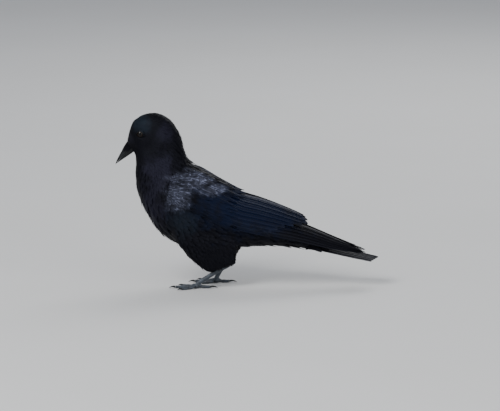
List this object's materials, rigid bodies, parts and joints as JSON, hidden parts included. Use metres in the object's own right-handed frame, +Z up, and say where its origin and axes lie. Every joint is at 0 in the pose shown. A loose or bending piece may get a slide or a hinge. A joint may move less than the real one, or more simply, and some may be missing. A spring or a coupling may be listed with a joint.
{
  "type": "crow",
  "caption": "Life-size crow walking with folded wings and lowered bill: black plumage, stout bill, closed tail and scaled feet that rest on the floor.",
  "frame": {"origin": "on the floor, centred under the bounding box", "axes": "+X from the bill towards the tail, +Y towards the crow's right side, +Z up; the bill points to -X"},
  "size_m": [0.4072, 0.1038, 0.272],
  "materials": {
    "plumage": "satin",
    "flight_feathers": "satin, with a blue gloss",
    "horn": "satin",
    "leg_skin": "satin",
    "eye": "wet gloss"
  },
  "bodies": {
    "root": {"head": "plumage", "neck": "plumage", "trunk": "plumage", "thigh_left": "plumage", "thigh_right": "plumage", "wing_coverts_left": "plumage", "wing_coverts_right": "plumage", "wing_secondaries_left": "flight_feathers", "wing_secondaries_right": "flight_feathers", "wing_primaries_left": "flight_feathers", "wing_primaries_right": "flight_feathers", "tail": "flight_feathers", "bill_upper": "horn", "bill_lower": "horn", "eye_left": "eye", "eye_right": "eye", "shank_left": "leg_skin", "shank_right": "leg_skin", "hind_toe_left": "leg_skin", "hind_toe_claw_left": "horn", "inner_toe_left": "leg_skin", "inner_toe_claw_left": "horn", "middle_toe_left": "leg_skin", "middle_toe_claw_left": "horn", "outer_toe_left": "leg_skin", "outer_toe_claw_left": "horn", "hind_toe_right": "leg_skin", "hind_toe_claw_right": "horn", "inner_toe_right": "leg_skin", "inner_toe_claw_right": "horn", "middle_toe_right": "leg_skin", "middle_toe_claw_right": "horn", "outer_toe_right": "leg_skin", "outer_toe_claw_right": "horn"}
  },
  "joints": []
}
